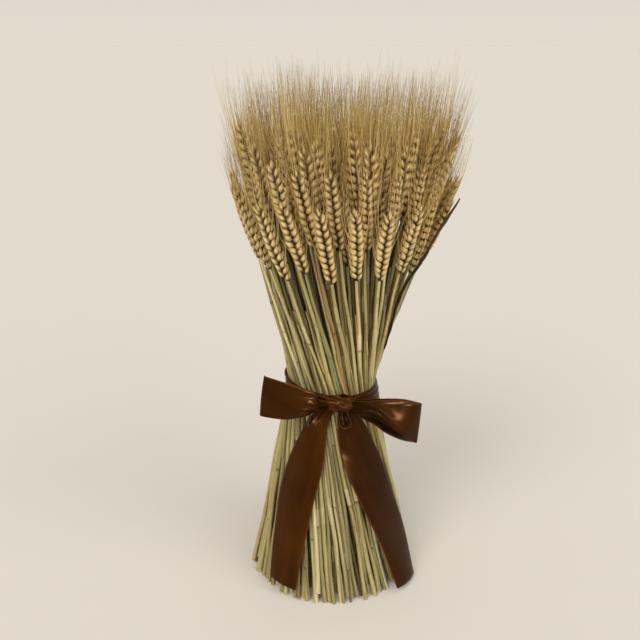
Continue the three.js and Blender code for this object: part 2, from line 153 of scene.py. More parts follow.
def stalk_choices(seat, style, numbers):
    """Ways for one stalk to stand, one for each row of five numbers."""
    roll = either_way(style["roll"], numbers[:, 0])
    neck_z = style["ear_z"] + either_way(EAR_Z_VARIES, numbers[:, 1])
    out = 1 + style["stagger"]
    neck = on_straw(*(seat * out), neck_z)
    up = unit(neck - on_straw(*seat, WAIST_Z))
    up = up + unit(neck - on_straw(0.0, 0.0, neck_z)) * style["tilt"]
    up[:, 0] += either_way(EAR_LEAN_VARIES, numbers[:, 2])
    up[:, 1] += either_way(EAR_LEAN_VARIES, numbers[:, 3])
    up = unit(up)
    angle = np.arctan2(neck[:, 1], neck[:, 0]) + math.pi / 2 + roll
    level = np.stack([np.cos(angle), np.sin(angle), 0 * angle], -1)
    side = unit(level - up * (level * up).sum(-1, keepdims=True))
    front = np.cross(side, up)
    length = EAR_LENGTH + either_way(EAR_LENGTH_VARIES, numbers[:, 4])
    starts = [on_straw(*seat, (WAIST_Z + neck_z) / 2)]
    ends = [neck]
    for i in range(EAR_PARTS):
        starts.append(neck + up * (length * i / EAR_PARTS)[:, None])
        ends.append(neck + up * (length * (i + 1) / EAR_PARTS)[:, None])
    made = {"neck": neck, "up": up, "side": side, "front": front, "level": level, "length": length}
    return {**made, "starts": np.stack(starts, 1), "ends": np.stack(ends, 1)}


# Gaps are measured between rods, one for the upper half of a straw and one for each part of its ear.
PART_ENDS = [i / EAR_PARTS for i in range(EAR_PARTS + 1)]
PARTS_R = [EAR_HALF_WIDTH * max(fullness(a), fullness(b)) for a, b in zip(PART_ENDS, PART_ENDS[1:])]
STALK_RODS_R = np.array([WAIST_R, *PARTS_R])
NEARLY_PARALLEL = 1e-9
rods = []


def clearance(starts, ends, radii, node):
    """The least gap between each choice's rods and the rods of every other node."""
    there = [rod for rod in rods if rod[3] != node]
    from_there, to_there, there_r = (np.array([rod[i] for rod in there]) for i in range(3))
    v = to_there - from_there
    u = (ends - starts)[:, :, None]
    w = starts[:, :, None] - from_there
    uu, vv, uv = (u * u).sum(-1), (v * v).sum(-1), (u * v).sum(-1)
    uw, vw = (u * w).sum(-1), (v * w).sum(-1)
    across = uu * vv - uv * uv
    s = np.clip((uv * vw - vv * uw) / np.maximum(across, NEARLY_PARALLEL), 0, 1)
    s = np.where(across > NEARLY_PARALLEL, s, 0)
    t = np.clip((uv * s + vw) / vv, 0, 1)
    s = np.clip((uv * t - uw) / uu, 0, 1)
    apart = np.linalg.norm(w + u * s[..., None] - v * t[..., None], axis=-1)
    return (apart - radii[:, None] - there_r).min(axis=(1, 2))


def place_stalk(seat, style, node, tries=EAR_TRIES):
    """The first way that keeps clear of what is placed, or else the clearest of them."""
    global seed
    best = None
    done = 0
    while done < tries:
        numbers, states = draws(TRIES_AT_ONCE * DRAWS_EACH)
        made = stalk_choices(seat, style, numbers.reshape(TRIES_AT_ONCE, DRAWS_EACH))
        gaps = clearance(made["starts"], made["ends"], STALK_RODS_R, node)
        clear = np.flatnonzero(gaps > LEAST_CLEARANCE)
        pick = clear[0] if len(clear) else int(np.argmax(gaps))
        if best is None or gaps[pick] > best["gap"]:
            best = {key: value[pick] for key, value in made.items()}
            best["gap"] = gaps[pick]
        if len(clear):
            seed = states[DRAWS_EACH * (pick + 1) - 1]
            break
        done += TRIES_AT_ONCE
    for start, end, radius in zip(best["starts"], best["ends"], STALK_RODS_R):
        rods.append((start, end, radius, node))
    best.update(seat=seat, foot_out=0.0, awn=style["awn"], bare=style["bare"])
    awn_top = best["neck"][2] + best["length"] * best["up"][2] + best["awn"]
    best["high"] = max(0.0, awn_top - AWN_TOP_Z)
    return best


def seat_at(radius, angle):
    """A place in the waist, from its middle."""
    return np.array([radius * math.cos(angle), radius * math.sin(angle)])


leaf_line = np.array(
    [
        on_straw(*seat_at(RING_SEAT_R * out, math.radians(degrees)), z)
        for z, degrees, out, _ in LEAF_STATIONS
    ]
)
for i in range(1, len(LEAF_STATIONS)):
    rods.append((leaf_line[i - 1], leaf_line[i], LEAF_STATIONS[i - 1][3], "flag_leaf"))

stalks = {}
for w in range(WEDGES):
    for radius, straws in WEDGE_ROWS:
        for i in range(straws):
            angle = (w + (i + 0.5) / straws) * 2 * math.pi / WEDGES
            node = f"stalks_inner_{w + 1}"
            made = place_stalk(seat_at(radius, angle), STYLES["inner"], node)
            stalks.setdefault(node, []).append(made)
for i in range(RING_STRAWS):
    angle = 2 * math.pi * (i + 0.5) / RING_STRAWS
    node = f"stalk_{i + 1:02d}"
    style = STYLES["high" if i % 2 else "low"]
    stalks[node] = [place_stalk(seat_at(RING_SEAT_R, angle), style, node)]

# A second row stands behind the ring, a straw behind each gap. Its straws come forward to the ring's own
# circle at the foot, so the cut ends stand close together, and most of its ears stand higher than the ring's.
SECOND_SEAT_R = 32.4
SECOND_FOOT_OUT = RING_SEAT_R / SECOND_SEAT_R - 1
SECOND_EAR_Z = (300, 330)
SECOND_TRIES = 60
second_draws = np.random.default_rng(7)
for i in range(RING_STRAWS):
    angle = 2 * math.pi * (i + 1) / RING_STRAWS
    style = dict(STYLES["inner"], ear_z=second_draws.uniform(*SECOND_EAR_Z), awn=30.0, bare=0.3)
    made = place_stalk(seat_at(SECOND_SEAT_R, angle), style, f"second {i}", SECOND_TRIES)
    made["foot_out"] = SECOND_FOOT_OUT * second_draws.uniform(0.7, 1.1)
    wedge = math.ceil((i + 1) * WEDGES / RING_STRAWS)
    stalks.setdefault(f"stalks_second_row_{wedge}", []).append(made)

# More straws that have lost their ears stand between the rows, and thin ones lie in the grooves of the ring.
# Each row has its seat radius, count, first place and girth, and the heights where its straws may end.
# Straws between the rows get painted shade all along, since they stand deep in the sheaf; those in the
# grooves get none.
BARE_PAINTED_SHADE = 0.55
BARE_JITTER = 0.3
BARE_ROWS = (
    (28.7, 24, 0.0, 0.8, 300.0, 322.0),
    (25.1, 21, 0.25, 0.9, 300.0, 325.0),
    (18.8, 15, 0.25, 0.9, 300.0, 325.0),
    (11.8, 9, 0.25, 0.9, 300.0, 325.0),
    (33.9, 44, 0.25, 0.6, 292.0, 316.0),
    (36.3, 34, 0.4, 0.62, 236.0, 284.0),
)
bare_straws = []
for radius, straws, first, girth, *tops in BARE_ROWS:
    for i in range(straws):
        in_groove = radius > RING_SEAT_R
        jitter = second_draws.uniform(-BARE_JITTER, BARE_JITTER) * in_groove
        angle = 2 * math.pi * (i + first + jitter) / straws
        bare_straws.append(
            {
                "seat": seat_at(radius, angle),
                "neck": on_straw(*seat_at(radius, angle), second_draws.uniform(*tops)),
                "level": np.array([-math.sin(angle), math.cos(angle), 0.0]),
                "foot_out": second_draws.uniform(-0.06, -0.02),
                "girth": girth,
                "painted_shade": 0.0 if in_groove else BARE_PAINTED_SHADE,
            }
        )

# ----------------------------------------------------------------------- straws
# Each straw is a thin hollow tube, 4 mm across, with one or two ringed joints, and is cut off by hand at the
# foot. Its skin is smooth and finely ribbed along its length, from pale straw yellow to green and tan.
MM = 0.001


class Shape:
    """Points in millimetres, from the sheaf's own foot, and faces, gathered before they become one mesh."""

    def __init__(self):
        self.points, self.faces, self.finishes, self.grains = [], [], [], []
        self.marks = {"tone": [], "dark": [], "pale": []}
        self.count = 0

    def add(self, points, faces, finish, grain, **marks):
        points = points.reshape(-1, 3) + FOOT
        self.points.append(points)
        self.grains.append(grain.reshape(-1, 3))
        for name, values in self.marks.items():
            values.append(np.broadcast_to(np.ravel(marks.get(name, 0.0)), len(points)))
        for face in faces:
            self.faces.append(face + self.count)
            self.finishes.append(np.full(len(face), finish))
        self.count += len(points)

    def piece(self, name, finishes, sharp_degrees=50.0):
        made = bpy.data.meshes.new(name)
        points = np.concatenate(self.points) * MM
        corners = np.concatenate([face.ravel() for face in self.faces])
        sizes = np.concatenate([np.full(len(face), face.shape[1]) for face in self.faces])
        made.vertices.add(len(points))
        made.vertices.foreach_set("co", points.ravel())
        made.loops.add(len(corners))
        made.loops.foreach_set("vertex_index", corners.astype(np.int32))
        made.polygons.add(len(sizes))
        made.polygons.foreach_set("loop_start", (np.cumsum(sizes) - sizes).astype(np.int32))
        made.polygons.foreach_set("material_index", np.concatenate(self.finishes).astype(np.int32))
        made.polygons.foreach_set("use_smooth", np.ones(len(sizes), bool))
        made.update(calc_edges=True)
        for mark, values in self.marks.items():
            layer = made.attributes.new(mark, "FLOAT", "POINT")
            layer.data.foreach_set("value", np.concatenate(values).astype(np.float32))
        layer = made.attributes.new("grain", "FLOAT_VECTOR", "POINT")
        layer.data.foreach_set("vector", np.concatenate(self.grains).astype(np.float32).ravel())
        made.set_sharp_from_angle(angle=math.radians(sharp_degrees))
        for finish in finishes:
            made.materials.append(finish)
        return put_in(name, made)


def closed_tubes(rings, sides, tubes=1):
    """The walls and flat ends of some tubes of like rings, which run counter-clockwise seen from ahead."""
    corner = np.arange(sides)
    ring = np.arange(rings - 1)[:, None] * sides
    near = (ring + corner).ravel()
    beside = (ring + (corner + 1) % sides).ravel()
    walls = np.stack([near, beside, beside + sides, near + sides], -1)
    ends = np.array([corner[::-1], corner + (rings - 1) * sides])
    first = (np.arange(tubes) * rings * sides)[:, None, None]
    return [(walls + first).reshape(-1, 4), (ends + first).reshape(-1, sides)]


def place(tree, kind, feeds=None, **settings):
    """A shader node with its settings, fed by numbers, colours or other nodes' sockets."""
    made = tree.nodes.new(kind)
    for name, value in settings.items():
        setattr(made, name, value)
    for name, value in (feeds or {}).items():
        if isinstance(value, bpy.types.NodeSocket):
            tree.links.new(value, made.inputs[name])
        else:
            made.inputs[name].default_value = value
    return made


def colour(red, green, blue):
    """A colour that is picked as a screen shows it, from 0 to 255."""
    shown = (red, green, blue)
    return tuple(((c / 255 + 0.055) / 1.055) ** 2.4 if c > 10 else c / 3294.6 for c in shown) + (1.0,)


def ramp(tree, share, stops):
    """Colours picked along a ramp by a share from 0 to 1."""
    made = place(tree, "ShaderNodeValToRGB", {"Fac": share})
    row = made.color_ramp.elements
    for i, (position, shade) in enumerate(stops):
        stop = row[i] if i < 2 else row.new(position)
        stop.position = position
        stop.color = shade
    return made.outputs["Color"]


def blend(tree, share, low, high, how="MIX"):
    """Two colours mixed by a share."""
    made = place(tree, "ShaderNodeMix", {"Factor": share}, data_type="RGBA", blend_type=how)
    for socket, value in ((made.inputs[6], low), (made.inputs[7], high)):
        if isinstance(value, bpy.types.NodeSocket):
            tree.links.new(value, socket)
        else:
            socket.default_value = value
    return made.outputs[2]


def stretch(tree, share, low, high):
    """A share from 0 to 1 as a number from low to high."""
    made = place(tree, "ShaderNodeMapRange", {"Value": share, "To Min": low, "To Max": high})
    return made.outputs["Result"]


def grey(tree, level):
    """A number as a colour with no tint."""
    return place(tree, "ShaderNodeCombineColor", {"Red": level, "Green": level, "Blue": level}).outputs[0]


def mark(tree, name, output="Fac"):
    """What a piece's own points say of themselves."""
    return place(tree, "ShaderNodeAttribute", attribute_name=name).outputs[output]


# Dried plant fibres run along the grain: fine ribs, longer streaks, and blotches where the plant weathered.
# Each kind is drawn out along the grain, and has its fineness and its detail.
FIBRE_KINDS = (("Ribs", 0.03, 1.0, 2.0), ("Streaks", 0.02, 0.25, 3.0), ("Blotches", 0.25, 0.09, 4.0))
fibres = bpy.data.node_groups.new("dried fibres", "ShaderNodeTree")
fibres.interface.new_socket("Grain", in_out="INPUT", socket_type="NodeSocketVector")
fibres.interface.new_socket("Ribs per mm", in_out="INPUT", socket_type="NodeSocketFloat")
for name, *_ in FIBRE_KINDS:
    fibres.interface.new_socket(name, in_out="OUTPUT", socket_type="NodeSocketFloat")
inside = place(fibres, "NodeGroupInput").outputs
outside = place(fibres, "NodeGroupOutput").inputs


def times(tree, vector, factors):
    """A vector scaled apart along its own axes."""
    made = place(tree, "ShaderNodeVectorMath", {0: vector, 1: factors}, operation="MULTIPLY")
    return made.outputs[0]


def noise(tree, vector, scale, detail, **more):
    """A soft random mask."""
    feeds = {"Vector": vector, "Scale": scale, "Detail": detail, **more}
    return place(tree, "ShaderNodeTexNoise", feeds).outputs["Fac"]


for name, along, fine, detail in FIBRE_KINDS:
    drawn_out = times(fibres, inside["Grain"], (1.0, 1.0, along))
    finer = place(fibres, "ShaderNodeMath", {0: inside["Ribs per mm"], 1: fine}, operation="MULTIPLY")
    kind = noise(fibres, drawn_out, finer.outputs[0], detail, Roughness=0.6)
    fibres.links.new(kind, outside[name])


RIB_SHADES = (0.72, 1.22)
MOST_BLOTCHED = (0.55, 0.55, 0.55, 1)


def dried(name, tones, shade_low, shade_high, dark, pale, ribs, rough, bump_mm):
    """A dried plant's skin: its colour by the stalk's tone, darkened and lightened by fibres and marks. The
    dark mark is partly painted shade, and the pale mark partly a painted highlight.
    """
    material = bpy.data.materials.new(name)
    material.use_nodes = True
    tree = material.node_tree
    shader = tree.nodes["Principled BSDF"]
    feeds = {"Grain": mark(tree, "grain", "Vector"), "Ribs per mm": ribs}
    grain = place(tree, "ShaderNodeGroup", feeds, node_tree=fibres).outputs
    shade = ramp(tree, mark(tree, "tone"), tones)
    streaked = ramp(tree, grain["Streaks"], ((0.3, shade_low), (0.7, shade_high)))
    shade = blend(tree, 1.0, shade, streaked, "MULTIPLY")
    ribbed = grey(tree, stretch(tree, grain["Ribs"], *RIB_SHADES))
    shade = blend(tree, 1.0, shade, ribbed, "MULTIPLY")
    blotched = ramp(tree, grain["Blotches"], ((0.58, (0, 0, 0, 1)), (0.78, MOST_BLOTCHED)))
    shade = blend(tree, blotched, shade, dark)
    # The dark mark is painted shade deep in the sheaf, towards the foot, under the scales and inside the cut
    # ends, and also the real dark joints and awn tips; the pale mark is a painted highlight on the scales,
    # and also the real pith, sheaths, midrib and awn roots.
    shade = blend(tree, mark(tree, "dark"), shade, dark)
    shade = blend(tree, mark(tree, "pale"), shade, pale)
    tree.links.new(shade, shader.inputs["Base Color"])
    tree.links.new(stretch(tree, grain["Streaks"], *rough), shader.inputs["Roughness"])
    feeds = {"Height": grain["Ribs"], "Distance": bump_mm * MM, "Strength": 0.8}
    tree.links.new(place(tree, "ShaderNodeBump", feeds).outputs["Normal"], shader.inputs["Normal"])
    shader.inputs["Specular IOR Level"].default_value = 0.15
    return material


straw_skin = dried(
    "straw",
    (
        (0.0, colour(240, 226, 178)),
        (0.2, colour(220, 206, 152)),
        (0.38, colour(194, 182, 122)),
        (0.55, colour(214, 188, 136)),
        (0.72, colour(156, 152, 106)),
        (0.88, colour(180, 150, 102)),
        (1.0, colour(108, 98, 66)),
    ),
    (0.62, 0.58, 0.46, 1),
    (1.1, 1.1, 1.06, 1),
    colour(42, 26, 6),
    colour(240, 226, 184),
    ribs=2.6,
    rough=(0.3, 0.58),
    bump_mm=0.12,
)

# A straw has rings at even heights, at its joints, and just under its neck, and more of them where it bends.
STRAW_SIDES = 8
FILL_Z = (
    26, 52, 78, 104, 128, 150, 164, 170,
    175, 178, 181, 186, 192, 206, 224, 242,
)
UNDER_NECK = (22, 9)
SHEATH = 16.0
SHEATH_THICK = 0.22
SHEATHED_SHARE = 0.45
JOINT_Z = (-5.0, -1.6, -0.5, 0.5, 1.6, 5.0, SHEATH - 0.4, SHEATH)
JOINT_HALF = 1.9
JOINT_SWELL = 0.16
LOWER_JOINTS = (22, 148)
UPPER_JOINTS_FROM = 198
JOINT_TO_NECK = 26
# Straws below the waist get painted shade that deepens towards the foot.
FOOT_PAINTED_SHADE = 0.2
# The cut ends lie at slightly different heights and slants. Each is a hollow darkened with painted shade,
# inside a pale rim.
CUT_LIFTS = (0.0, 0.0, 0.0, 1.0, 2.5, 5.0, 9.0)
CUT_SLANT = 0.35
CUT_TO_WALL = 0.8
CUT_DEEP = np.array([9.0, 0.0, 0.0])
CUT_WIDE = np.array([0.5, 0.62, 1.0])
CUT_PAINTED_SHADE = (0.9, 0.25, 0.0)
CUT_PALE = (0.0, 0.8, 0.8)
FOOT_STRAYS = 3.4
SWAYS = (1.2, 0.7)
SWAY_LENGTHS = (90, 170)
look_draws = np.random.default_rng(11)


def add_straw(shape, stalk, tone, top_z):
    """One straw from its cut end to its neck."""
    lift = look_draws.choice(CUT_LIFTS) * look_draws.uniform(0.5, 1.3)
    lower_joint = look_draws.uniform(*LOWER_JOINTS)
    upper_joint = look_draws.uniform(UPPER_JOINTS_FROM, top_z - JOINT_TO_NECK)
    thick = look_draws.uniform(0.76, 0.96) * stalk.get("girth", 1.0)
    z = [*FILL_Z, *(top_z - d for d in UNDER_NECK), top_z, lift + CUT_TO_WALL]
    z += [joint + d for joint in (lower_joint, upper_joint) for d in JOINT_Z]
    z = np.sort(np.clip(z, lift + CUT_TO_WALL, top_z))
    share = np.clip((z - WAIST_Z) / (top_z - WAIST_Z), 0, 1)
    lower_r = FOOT_R + (WAIST_R - FOOT_R) * z / WAIST_Z
    radius = np.where(z < WAIST_Z, lower_r, WAIST_R + (NECK_R - WAIST_R) * share) * thick
    # The dark mark here is painted shade: towards the foot, all along on straws between the rows, and above
    # the waist on straws deep in the sheaf.
    dark = np.maximum(stalk.get("painted_shade", 0.0), FOOT_PAINTED_SHADE * np.clip((WAIST_Z - z) / 90, 0, 1))
    dark = np.maximum(dark, stalk.get("inside", 0.0) * np.clip((z - WAIST_Z) / 70, 0, 1))
    pale = np.zeros(len(z))
    for joint, most in ((lower_joint, 1.0), (upper_joint, 0.7)):
        ring = look_draws.uniform(0.0, 1.0)
        radius = radius * (1 + JOINT_SWELL * ring * np.exp(-(((z - joint) / JOINT_HALF) ** 2)))
        dark = np.maximum(dark, np.exp(-((z - joint - 0.3) ** 2)) * ring * most)
        sheathed = (z > joint + 1.5) & (z < joint + SHEATH - 0.2) & (look_draws.random() < SHEATHED_SHARE)
        radius = np.where(sheathed, radius + SHEATH_THICK, radius)
        pale = np.where(sheathed, 0.28 * ring, pale)
    z = np.concatenate([lift + CUT_DEEP, z])
    radius = np.concatenate([CUT_WIDE * radius[0], radius])
    dark = np.concatenate([CUT_PAINTED_SHADE, dark])
    pale = np.concatenate([CUT_PALE, pale])

    seat, neck, level = (stalk[key] for key in ("seat", "neck", "level"))
    forward = np.array([level[1], -level[0], 0.0])
    out = 1 + stalk["foot_out"] * np.maximum(WAIST_Z - z, 0) / WAIST_Z
    centre = on_straw(seat[0] * out, seat[1] * out, z, WAIST_BEND)
    above = np.clip((z - WAIST_Z) / (neck[2] - WAIST_Z), 0, 1)
    centre += above[:, None] * (neck - on_straw(*seat, neck[2]))
    strays = np.clip(look_draws.normal(0, 2.0), -FOOT_STRAYS, FOOT_STRAYS)
    centre += (strays * np.maximum(WAIST_Z - z, 0) / WAIST_Z)[:, None] * level
    free = np.where(z < WAIST_Z, np.minimum(1, (WAIST_Z - z) / 110), np.sin(math.pi * above) * 0.8)
    starts = look_draws.uniform(0, 2 * math.pi, 2)
    lengths = look_draws.uniform(*SWAY_LENGTHS, 2)
    for way, sway, start, length in zip((level, forward), SWAYS, starts, lengths):
        centre += (free * sway * np.sin(2 * math.pi * z / length + start))[:, None] * way

    turn = 2 * math.pi * np.arange(STRAW_SIDES) / STRAW_SIDES
    across = np.cos(turn)[:, None] * level - np.sin(turn)[:, None] * forward
    points = centre[:, None] + radius[:, None, None] * across
    slant = np.array([*look_draws.uniform(-CUT_SLANT, CUT_SLANT, 2), 0])
    points[1:3, :, 2] += np.maximum(0, radius[1:3, None] * (across @ slant + CUT_SLANT))
    grain = np.zeros((len(z), STRAW_SIDES, 3))
    grain[..., 0] = np.cos(turn) * WAIST_R + 40 * tone
    grain[..., 1] = np.sin(turn) * WAIST_R + 13 * thick
    grain[..., 2] = z[:, None] + 500 * tone
    dark, pale = (np.repeat(values, STRAW_SIDES) for values in (dark, pale))
    walls = closed_tubes(len(z), STRAW_SIDES)
    shape.add(points, walls, 0, grain, tone=tone, dark=dark, pale=pale)


# ------------------------------------------------------------------------- ears
# An ear of bearded wheat has about twenty spikelets, in turn left and right of its stem. Each one shows
# plump, pointed scales of a golden tan that overlap like a plait, and most end in a long, fine, stiff awn.
SPIKELETS = {"fine": 20, "plain": 18}
SCALE_SIDES_AND_RINGS = {"fine": (7, 6), "plain": (5, 4)}
SCALE_PROFILE = ((0.0, 0.3), (0.16, 0.8), (0.4, 1.0), (0.62, 0.86), (0.84, 0.42), (1.0, 0.06))


def scale_template(sides, rings):
    """A plump pointed scale of unit length and width, rounder on its outside than on its inside."""
    along = np.linspace(0, 1, rings)
    known = np.array(SCALE_PROFILE)
    radius = np.interp(along, known[:, 0], known[:, 1])
    turn = 2 * math.pi * np.arange(sides) / sides
    x = radius[:, None] * np.cos(turn) * 0.5
    y = radius[:, None] * np.sin(turn) * 0.5
    y = np.where(y < 0, y * 0.6, y) - 0.22 * (along**2)[:, None] + 0.1 * along[:, None]
    points = np.stack([x, y, np.broadcast_to(along[:, None], x.shape)], -1).reshape(-1, 3)
    edge = np.broadcast_to(np.abs(np.cos(turn)) ** 3, x.shape).ravel()
    return points, closed_tubes(rings, sides), edge


scale_forms = {form: scale_template(*sizes) for form, sizes in SCALE_SIDES_AND_RINGS.items()}

ear_skin = dried(
    "ear scales",
    (
        (0.0, colour(230, 202, 140)),
        (0.3, colour(214, 181, 116)),
        (0.6, colour(196, 159, 94)),
        (1.0, colour(170, 131, 72)),
    ),
    (0.66, 0.6, 0.48, 1),
    (1.12, 1.1, 1.04, 1),
    colour(58, 32, 8),
    colour(244, 224, 168),
    ribs=2.2,
    rough=(0.42, 0.7),
    bump_mm=0.14,
)
awn_skin = dried(
    "awns",
    (
        (0.0, colour(254, 233, 164)),
        (0.45, colour(236, 205, 130)),
        (0.8, colour(166, 130, 70)),
        (1.0, colour(100, 72, 32)),
    ),
    (0.75, 0.7, 0.6, 1),
    (1.1, 1.08, 1.02, 1),
    colour(96, 76, 46),
    colour(222, 200, 146),
    ribs=1.5,
    rough=(0.45, 0.65),
    bump_mm=0.03,
)


def add_scales(shape, form, base, way, out, length, width, thick, tone, shade):
    """Like scales, each at its base and along its own way, with its rounder side out. A scale gets painted
    shade at its base and sides, where the scales overlap, a painted highlight past its middle, and painted
    shade as a whole where it lies deep in the sheaf."""
    points, faces, edge = scale_forms[form]
    across = unit(np.cross(out, way))
    out = np.cross(way, across)
    axes = np.stack([across * width[:, None], out * thick[:, None], way * length[:, None]], 1)
    made = base[:, None] + np.einsum("pk,nkd->npd", points, axes)
    count, each = len(base), len(points)
    grain = np.empty((count, each, 3))
    grain[..., 0] = points[:, 0] * 4.5 + look_draws.uniform(0, 90, count)[:, None]
    grain[..., 1] = points[:, 1] * 3.5
    grain[..., 2] = points[:, 2] * 9 + look_draws.uniform(0, 900, count)[:, None]
    rise = points[:, 2]
    # Painted shade at each scale's base and sides, where the scales overlap, and as a whole deep in the
    # sheaf; a painted highlight on its plump middle.
    dark = np.clip(1.15 - 1.8 * rise, 0, 1) + 0.45 * edge * (1 - rise)
    dark = np.clip(shade[:, None] + (1 - shade[:, None]) * dark, 0, 1)
    pale = 0.75 * np.clip(1 - np.abs(rise - 0.58) * 2.6, 0, 1) * (1 - edge)
    pale = (1 - shade[:, None]) * pale
    first = (np.arange(count) * each)[:, None, None]
    walls = [(face + first).reshape(-1, face.shape[1]) for face in faces]
    shape.add(made, walls, 1, grain, tone=np.repeat(tone, each), dark=dark, pale=pale)
    return base + axes[:, 2] - 0.12 * axes[:, 1]


AWN_STEPS = 6
AWN_SIDES = 3
AWN_ROOT_R = 0.23
AWN_TIP_R = 0.04
AWN_BENDS_AT = 0.3
AWN_TIPS_OUT = 102.5
NO_AWNS_WAY = np.array([0.31, 0.87, 0.21])


def add_awns(shape, root, start, end_way, reach, tone):
    """Fine three-sided needles that leave their scales and bend to their own way."""
    bend = (root + unit(start) * (AWN_BENDS_AT * reach)[:, None])[:, None]
    end = (root + unit(end_way) * reach[:, None])[:, None]
    share = np.linspace(0, 1, AWN_STEPS)[None, :, None]
    path = (1 - share) ** 2 * root[:, None] + 2 * share * (1 - share) * bend + share**2 * end
    along = unit(np.gradient(path, axis=1))
    first = unit(np.cross(along, NO_AWNS_WAY))
    second = np.cross(along, first)
    radius = AWN_ROOT_R + (AWN_TIP_R - AWN_ROOT_R) * share[..., 0] ** 0.8
    radius = radius * look_draws.uniform(0.7, 1.35, len(root))[:, None]
    turn = (2 * math.pi * np.arange(AWN_SIDES) / AWN_SIDES)[:, None]
    rings = np.cos(turn) * first[:, :, None] + np.sin(turn) * second[:, :, None]
    points = path[:, :, None] + radius[..., None, None] * rings
    count = len(root)
    grain = np.zeros(points.shape)
    grain[..., 0] = look_draws.uniform(0, 90, count)[:, None, None]
    grain[..., 2] = (share * reach[:, None, None])[..., 0][:, :, None]
    rise = np.broadcast_to(share[..., 0][:, :, None], points.shape[:3])
    tone = np.repeat(tone, AWN_STEPS * AWN_SIDES)
    pale = 0.3 * np.clip(1 - 3 * rise, 0, 1)
    walls = closed_tubes(AWN_STEPS, AWN_SIDES, count)
    shape.add(points, walls, 2, grain, tone=tone, dark=0.45 * rise**3, pale=pale)


UPWARDS = np.array([0.0, 0.0, 1.0])
LONGEST_SCALE = 9.0
LONGEST_MIDDLE_SCALE = 8.2
DEEP_PAINTED_SHADE = 0.5


def add_ear(shape, stalk, form, tone):
    """One ear: each spikelet has a scale in front and one behind, with their awns, and one between them."""
    neck, up, side, front = (stalk[key] for key in ("neck", "up", "side", "front"))
    count = SPIKELETS[form] + 1
    k = np.arange(count)
    share = (k + 0.15) / count
    turn = np.where(k % 2 == 1, -1.0, 1.0)
    turn[-1] = 0.0
    full = fullness(share)[:, None]
    bow = np.sin(share * math.pi) * look_draws.uniform(-1.0, 1.0)
    axis = neck + up * (share * stalk["length"] * 0.94)[:, None] + side * bow[:, None]
    outward = side * turn[:, None]
    plump = 0.74 + 0.26 * full[:, 0]
    # Inner ears get painted shade towards their lower ends, where they lie deep in the sheaf.
    shade = (0.0 if form == "fine" else DEEP_PAINTED_SHADE) * np.clip(1 - 1.4 * share, 0, 1)

    def loose(amount):
        return look_draws.normal(0, amount, count)

    for face in (1.0, -1.0):
        lean = np.radians(20 + 9 * full[:, 0] + loose(3.5))
        base = axis + outward * 0.6 * full + front * face * 1.5 * full
        way = up * np.cos(lean)[:, None] + outward * np.sin(lean)[:, None] + front * face * 0.12
        way = unit(way + front * loose(0.04)[:, None])
        facing = np.broadcast_to(front * face, way.shape)
        sizes = (LONGEST_SCALE * plump * (1 + loose(0.04)), 4.5 * full[:, 0], 3.7 * full[:, 0])
        tones = np.clip(tone + loose(0.12), 0, 1)
        tips = add_scales(shape, form, base, way, facing, *sizes, tones, shade)
        awned = (k >= 2) & (look_draws.random(count) > stalk["bare"])
        end_way = up + 0.5 * (UPWARDS - up)
        end_way = end_way + outward * (0.05 + 0.1 * look_draws.random(count))[:, None]
        end_way = end_way + front * (face * 0.03 + loose(0.08))[:, None] + side * loose(0.07)[:, None]
        past_ear = (stalk["awn"] - stalk["high"]) * (1 + loose(0.18))
        reach = (1 - share) * stalk["length"] * 0.7 + past_ear + 4
        straight = unit(end_way)
        tip_at = tips + straight * reach[:, None] + FOOT
        past = np.maximum(np.hypot(tip_at[:, 0], tip_at[:, 1]) - AWN_TIPS_OUT, 0)
        reach = reach - np.minimum(past / np.hypot(straight[:, 0], straight[:, 1]), 0.5 * reach)
        start_way = unit(way + 1.6 * end_way)
        awn_tone = np.clip(0.6 * tone + look_draws.random(count) ** 2 * 0.8, 0, 1)
        add_awns(shape, tips[awned], start_way[awned], end_way[awned], reach[awned], awn_tone[awned])
    outward, full, plump, shade = outward[:-1], full[:-1], plump[:-1], shade[:-1]
    lean = np.radians(22 + 8 * full[:, 0] + loose(3.0)[:-1])
    base = axis[:-1] + outward * 1.6 * full
    way = unit(up * np.cos(lean)[:, None] + outward * np.sin(lean)[:, None])
    sizes = (LONGEST_MIDDLE_SCALE * plump, 4.4 * full[:, 0], 3.2 * full[:, 0])
    tones = np.clip(tone + loose(0.12)[:-1], 0, 1)
    add_scales(shape, form, base, way, outward, *sizes, tones, shade)


# Straws of the inner wedges and the second row get painted shade above the waist, where they stand deep in
# the sheaf.
INSIDE_PAINTED_SHADE = 0.45
for node, group in stalks.items():
    form = "fine" if node.startswith("stalk_") else "plain"
    shape = Shape()
    for stalk in group:
        stalk["inside"] = 0.0 if form == "fine" else INSIDE_PAINTED_SHADE
        straw_tone = look_draws.beta(1.1, 1.5)
        add_straw(shape, stalk, straw_tone, stalk["neck"][2])
        add_ear(shape, stalk, form, look_draws.uniform(0.05, 0.75))
    has_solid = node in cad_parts
    piece = shape.piece(node + "_dried" if has_solid else node, [straw_skin, ear_skin, awn_skin])
    if has_solid:
        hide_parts(node)
    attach(piece, "root")

bare = Shape()
for straw in bare_straws:
    # Bare straws take tones from the darker end of the ramp, partly their greener colour and partly painted
    # shade deep in the sheaf.
    add_straw(bare, straw, look_draws.uniform(0.6, 1.0), straw["neck"][2])
bare_piece = bare.piece("straws_without_ears", [straw_skin])
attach(bare_piece, "root")

